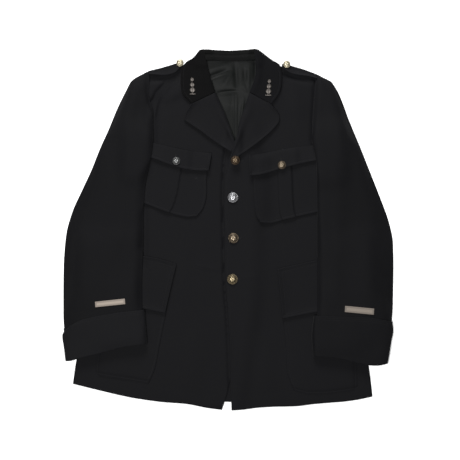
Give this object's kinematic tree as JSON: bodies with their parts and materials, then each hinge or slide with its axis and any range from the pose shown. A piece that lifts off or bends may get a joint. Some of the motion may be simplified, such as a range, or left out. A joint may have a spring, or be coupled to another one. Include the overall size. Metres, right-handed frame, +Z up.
{
  "type": "uniform jacket",
  "caption": "Dark wool uniform jacket laid flat on its back, buttoned, with lapels, shoulder straps, flapped pockets, metal buttons and turned-back cuffs.",
  "frame": {"origin": "middle of the laid-out garment, on the surface that it lies on", "axes": "+Z up out of the front of the jacket, +Y from the hem towards the collar, +X towards the wearer's left sleeve"},
  "size_m": [0.7252, 0.793, 0.021],
  "materials": {
    "wool": "matt black-navy wool",
    "satin": "satin lining, soft sheen",
    "braid": "pale woven tape",
    "bronze": "dull bronze",
    "silver": "worn silver plate",
    "brass": "tarnished brass",
    "gilt": "bright gilt"
  },
  "bodies": {
    "root": {"back_panel": "wool", "front_right": "wool", "front_left": "wool", "lapel_right": "wool", "lapel_left": "wool", "collar_back": "wool", "collar_leaf_right": "wool", "collar_leaf_left": "wool", "shoulder_strap_right": "wool", "shoulder_strap_left": "wool", "chest_pocket_right": "wool", "chest_pocket_left": "wool", "chest_flap_right": "wool", "chest_flap_left": "wool", "lower_pocket_right": "wool", "lower_pocket_left": "wool", "lower_flap_right": "wool", "lower_flap_left": "wool", "sleeve_under_right": "wool", "sleeve_under_left": "wool", "sleeve_top_right": "wool", "sleeve_top_left": "wool", "cuff_under_right": "wool", "cuff_under_left": "wool", "cuff_top_right": "wool", "cuff_top_left": "wool", "back_lining": "satin", "sleeve_tape_right": "braid", "sleeve_tape_left": "braid", "front_button_1": "bronze", "front_button_2": "silver", "front_button_3": "brass", "front_button_4": "brass", "chest_button_right": "silver", "chest_button_left": "brass", "strap_button_right": "gilt", "strap_button_left": "gilt", "collar_sprig_right": "silver", "collar_sprig_left": "silver"}
  },
  "joints": []
}
